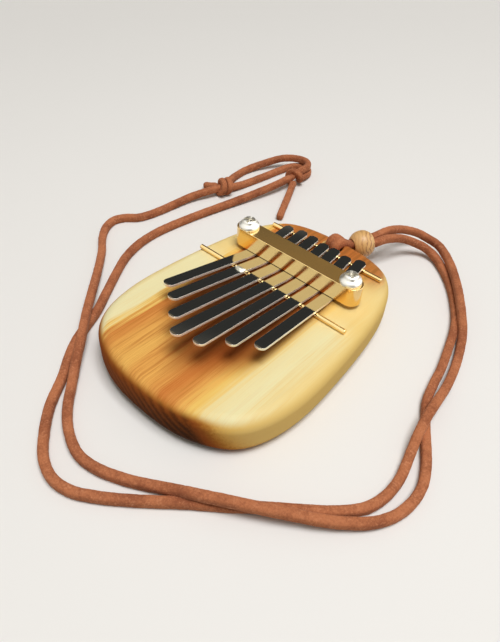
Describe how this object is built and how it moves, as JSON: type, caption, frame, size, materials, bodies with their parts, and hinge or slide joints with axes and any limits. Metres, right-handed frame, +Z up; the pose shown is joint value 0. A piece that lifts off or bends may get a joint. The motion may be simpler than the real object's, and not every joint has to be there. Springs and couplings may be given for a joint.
{
  "type": "kalimba",
  "caption": "Pendant thumb piano: rounded wooden board, brass clamp bar and bridge rods, springy steel tines, and a suede neck lace with a bead and sliding knots.",
  "frame": {"origin": "centre of the board's underside, in the middle of the board's outline", "axes": "+X along the clamp bar, +Y from the tine tips towards the lace hole, +Z up out of the board's top"},
  "size_m": [0.1475, 0.1682, 0.0234],
  "materials": {
    "board_wood": "oiled two-tone wood, pale sapwood at the sides and reddish brown heartwood down the middle",
    "bar_brass": "polished",
    "rod_brass": "drawn and polished",
    "screw_steel": "bright plated",
    "tine_steel": "polished spring steel",
    "bead_wood": "satin",
    "lace_suede": "napped suede"
  },
  "bodies": {
    "root": {"board": "board_wood", "clamp_bar": "bar_brass", "clamp_screw_left": "screw_steel", "clamp_screw_right": "screw_steel", "front_bridge_rod": "rod_brass", "rear_bridge_rod": "rod_brass", "lace_loop": "lace_suede", "lace_strand_a": "lace_suede", "lace_strand_b": "lace_suede", "lace_link_a": "lace_suede", "lace_link_b": "lace_suede", "lace_tail_a": "lace_suede", "lace_tail_b": "lace_suede", "lace_knot_a": "lace_suede", "lace_knot_b": "lace_suede"},
    "tine_1_root": {"tine_1_clamped": "tine_steel"},
    "tine_1_tongue": {"tine_1_free": "tine_steel"},
    "tine_2_root": {"tine_2_clamped": "tine_steel"},
    "tine_2_tongue": {"tine_2_free": "tine_steel"},
    "tine_3_root": {"tine_3_clamped": "tine_steel"},
    "tine_3_tongue": {"tine_3_free": "tine_steel"},
    "tine_4_root": {"tine_4_clamped": "tine_steel"},
    "tine_4_tongue": {"tine_4_free": "tine_steel"},
    "tine_5_root": {"tine_5_clamped": "tine_steel"},
    "tine_5_tongue": {"tine_5_free": "tine_steel"},
    "tine_6_root": {"tine_6_clamped": "tine_steel"},
    "tine_6_tongue": {"tine_6_free": "tine_steel"},
    "tine_7_root": {"tine_7_clamped": "tine_steel"},
    "tine_7_tongue": {"tine_7_free": "tine_steel"},
    "bead": {"lace_bead": "bead_wood"}
  },
  "joints": [
    {"name": "tine_1_tuning", "type": "slide", "parent": "root", "child": "tine_1_root", "axis": [0.0732, 0.9973, 0], "range_m": [-0.0012, 0.0012]},
    {"name": "tine_1_flex", "type": "hinge", "parent": "tine_1_root", "child": "tine_1_tongue", "pos_m": [-0.01679, 0.0073, 0.0145], "axis": [0.9973, -0.0732, 0], "range_deg": [-4, 5], "stiffness_Nm_per_rad": 3.63},
    {"name": "tine_2_tuning", "type": "slide", "parent": "root", "child": "tine_2_root", "axis": [0.0591, 0.9983, 0], "range_m": [-0.0012, 0.0012]},
    {"name": "tine_2_flex", "type": "hinge", "parent": "tine_2_root", "child": "tine_2_tongue", "pos_m": [-0.01125, 0.0073, 0.0145], "axis": [0.9983, -0.0591, 0], "range_deg": [-4, 5], "stiffness_Nm_per_rad": 3.21},
    {"name": "tine_3_tuning", "type": "slide", "parent": "root", "child": "tine_3_root", "axis": [0.0225, 0.9997, 0], "range_m": [-0.0012, 0.0012]},
    {"name": "tine_3_flex", "type": "hinge", "parent": "tine_3_root", "child": "tine_3_tongue", "pos_m": [-0.00566, 0.0073, 0.0145], "axis": [0.9997, -0.0225, 0], "range_deg": [-4, 5], "stiffness_Nm_per_rad": 2.71},
    {"name": "tine_4_tuning", "type": "slide", "parent": "root", "child": "tine_4_root", "axis": [0.006, 1, 0], "range_m": [-0.0012, 0.0012]},
    {"name": "tine_4_flex", "type": "hinge", "parent": "tine_4_root", "child": "tine_4_tongue", "pos_m": [-0.00026, 0.0073, 0.0145], "axis": [1, -0.006, 0], "range_deg": [-4, 5], "stiffness_Nm_per_rad": 2.39},
    {"name": "tine_5_tuning", "type": "slide", "parent": "root", "child": "tine_5_root", "axis": [-0.0293, 0.9996, 0], "range_m": [-0.0012, 0.0012]},
    {"name": "tine_5_flex", "type": "hinge", "parent": "tine_5_root", "child": "tine_5_tongue", "pos_m": [0.005, 0.0073, 0.0145], "axis": [0.9996, 0.0293, 0], "range_deg": [-4, 5], "stiffness_Nm_per_rad": 2.51},
    {"name": "tine_6_tuning", "type": "slide", "parent": "root", "child": "tine_6_root", "axis": [-0.0411, 0.9992, 0], "range_m": [-0.0012, 0.0012]},
    {"name": "tine_6_flex", "type": "hinge", "parent": "tine_6_root", "child": "tine_6_tongue", "pos_m": [0.01021, 0.0073, 0.0145], "axis": [0.9992, 0.0411, 0], "range_deg": [-4, 5], "stiffness_Nm_per_rad": 3.02},
    {"name": "tine_7_tuning", "type": "slide", "parent": "root", "child": "tine_7_root", "axis": [-0.0644, 0.9979, 0], "range_m": [-0.0012, 0.0012]},
    {"name": "tine_7_flex", "type": "hinge", "parent": "tine_7_root", "child": "tine_7_tongue", "pos_m": [0.01565, 0.0073, 0.0145], "axis": [0.9979, 0.0644, 0], "range_deg": [-4, 5], "stiffness_Nm_per_rad": 3.58},
    {"name": "bead_slide", "type": "slide", "parent": "root", "child": "bead", "axis": [0.3039, 0.9522, -0.0304], "range_m": [0, 0.004]}
  ]
}
